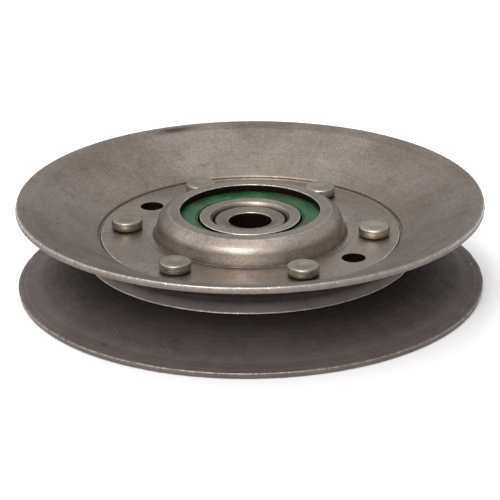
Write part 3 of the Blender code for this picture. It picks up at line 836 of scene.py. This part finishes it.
def make_bearing():
    """Races, seals, sleeve, both cage halves and the eight balls."""
    race_paint = steel("race_steel", rgb(172, 164, 151), rgb(148, 140, 127), rgb(116, 106, 94),
                       rgb(216, 209, 198), rough=(0.22, 0.36), grain=0.9, streaks=1.2)
    sleeve_paint = steel("sleeve_steel", rgb(160, 151, 143), rgb(134, 125, 117), rgb(110, 101, 93),
                         rgb(224, 216, 206), rough=(0.26, 0.42), grain=0.7, streaks=1.0)
    ball_paint = steel("ball_steel", rgb(205, 205, 205), rgb(190, 190, 190), rgb(170, 170, 170),
                       rgb(225, 225, 225), rough=(0.06, 0.12), grain=0.1, streaks=0.0)
    cage_paint = steel("cage_steel", rgb(170, 160, 146), rgb(150, 140, 128), rgb(128, 118, 106),
                       rgb(220, 214, 204), rough=(0.3, 0.45), grain=0.6, streaks=0.2)
    seal_paint = rubber("seal_rubber", rgb(38, 76, 46), rgb(27, 58, 36))
    turned_piece("bearing_outer_race", outer_race_outline(), BEARING_SEGMENTS, race_paint,
                 "wheel", "bearing_steel")
    turned_piece("bearing_inner_race", inner_race_outline(), BEARING_SEGMENTS, race_paint,
                 "bolt_side", "bearing_steel")
    turned_piece("upper_seal", seal_outline(), BEARING_SEGMENTS, seal_paint, "wheel", "seal_rubber")
    turned_piece("lower_seal", flip(seal_outline()), BEARING_SEGMENTS, seal_paint, "wheel", "seal_rubber")
    turned_piece("spacer_sleeve", sleeve_outline(), BEARING_SEGMENTS, sleeve_paint,
                 "bolt_side", "sleeve_steel")
    for name, side in (("cage_upper", +1), ("cage_lower", -1)):
        half = make_object(f"{name}_detail", cage_mesh(name, side), cage_paint)
        settle(half, "cage", "cage_steel", name)
    for i in range(BALL_COUNT):
        ball = make_object(f"ball_{i + 1}_detail", ball_mesh(i), ball_paint)
        settle(ball, f"ball_{i + 1}_body", "ball_steel", f"ball_{i + 1}")


# ---- Stage, light and camera --------------------------------------------------
HORIZON_LEVEL = 0.12           # brightness of the room at the horizon
CEILING_LEVEL = 0.66           # brightness of the room high up
WALL_TOP = 0.45                # sine of the elevation where the room gets that bright
# Soft glows in the studio: azimuth, elevation, half width in degrees, and level.
GLOWS = ((0.0, 38.0, 38.0, 1.5), (-75.0, 35.0, 60.0, 0.5), (0.0, 88.0, 31.0, 1.05))


def make_floor():
    """Plain pale floor, just under the pulley."""
    mesh = bpy.data.meshes.new("floor")
    size, gap = 4.0, 0.00002
    z = cad_box[0].z - gap
    mesh.from_pydata([(-size, -size, z), (size, -size, z), (size, size, z), (-size, size, z)],
                     [], [(0, 1, 2, 3)])
    floor = make_object("studio_floor", mesh, floor_paint())


def make_world():
    """Soft studio room: dim near the horizon, with wide soft glows as from big windows."""
    world = bpy.data.worlds.new("studio")
    bpy.context.scene.world = world
    world.use_nodes = True
    tree = world.node_tree
    direction = tree.nodes.new("ShaderNodeTexCoord").outputs["Generated"]

    def math_node(operation, a, b):
        made = tree.nodes.new("ShaderNodeMath")
        made.operation = operation
        for value, socket in zip((a, b), made.inputs):
            if isinstance(value, float):
                socket.default_value = value
            else:
                tree.links.new(value, socket)
        return made.outputs[0]

    def glow(azimuth, elevation, half_width, level):
        """A round soft glow; azimuth 0 is behind the camera, 90 to its right."""
        a, e = math.radians(azimuth), math.radians(elevation)
        dot = tree.nodes.new("ShaderNodeVectorMath")
        dot.operation = "DOT_PRODUCT"
        tree.links.new(direction, dot.inputs[0])
        dot.inputs[1].default_value = (math.sin(a) * math.cos(e), -math.cos(a) * math.cos(e), math.sin(e))
        fade = tree.nodes.new("ShaderNodeMapRange")
        fade.interpolation_type = "SMOOTHSTEP"
        tree.links.new(dot.outputs["Value"], fade.inputs["Value"])
        fade.inputs["From Min"].default_value = math.cos(math.radians(half_width))
        fade.inputs["From Max"].default_value = math.cos(math.radians(0.35 * half_width))
        fade.inputs["To Max"].default_value = level
        return fade.outputs[0]

    split = tree.nodes.new("ShaderNodeSeparateXYZ")
    tree.links.new(direction, split.inputs[0])
    rise = tree.nodes.new("ShaderNodeMapRange")
    rise.interpolation_type = "SMOOTHSTEP"
    tree.links.new(split.outputs["Z"], rise.inputs["Value"])
    rise.inputs["From Min"].default_value = 0.0
    rise.inputs["From Max"].default_value = WALL_TOP
    rise.inputs["To Min"].default_value = HORIZON_LEVEL
    rise.inputs["To Max"].default_value = CEILING_LEVEL
    total = rise.outputs[0]
    for row in GLOWS:
        total = math_node("ADD", total, glow(*row))
    tree.links.new(total, tree.nodes["Background"].inputs["Strength"])
    tree.nodes["Background"].inputs["Color"].default_value = (1.0, 0.985, 0.985, 1.0)


def make_light(name, size, power, place, aim=(0, 0, 0), in_reflections=True):
    lamp = bpy.data.lights.new(name, "AREA")
    lamp.shape = "DISK"
    lamp.size = size
    lamp.energy = power
    light = bpy.data.objects.new(name, lamp)
    light.location = place
    light.rotation_euler = (Vector(aim) - Vector(place)).to_track_quat("-Z", "Y").to_euler()
    light.visible_glossy = in_reflections
    bpy.context.scene.collection.objects.link(light)


def make_camera():
    """Long lens, looking down at the pulley from the front."""
    elevation, azimuth, roll = math.radians(21.79), math.radians(5.9), math.radians(0.56)
    distance = 0.604
    back = Vector((math.sin(azimuth) * math.cos(elevation),
                   -math.cos(azimuth) * math.cos(elevation), math.sin(elevation)))
    data = bpy.data.cameras.new("camera")
    data.lens, data.sensor_width = 187.6, 36.0
    data.shift_x, data.shift_y = -0.0006, -0.02
    data.clip_start, data.clip_end = 0.01, 20.0
    camera = bpy.data.objects.new("camera", data)
    turn = (-back).to_track_quat("-Z", "Y").to_matrix().to_4x4()
    camera.matrix_world = Matrix.Translation(back * distance) @ turn @ Matrix.Rotation(-roll, 4, "Z")
    bpy.context.scene.collection.objects.link(camera)
    bpy.context.scene.camera = camera


def make_lights():
    make_light("front_softbox", 0.7, 5.0, (-0.25, -0.85, 0.75))
    make_light("floor_fill", 1.2, 14.0, (-0.5, 0.9, 1.2), in_reflections=False)


make_wheel()
make_bearing()
make_floor()
make_world()
make_lights()
make_camera()
bpy.context.scene.view_settings.view_transform = "Standard"
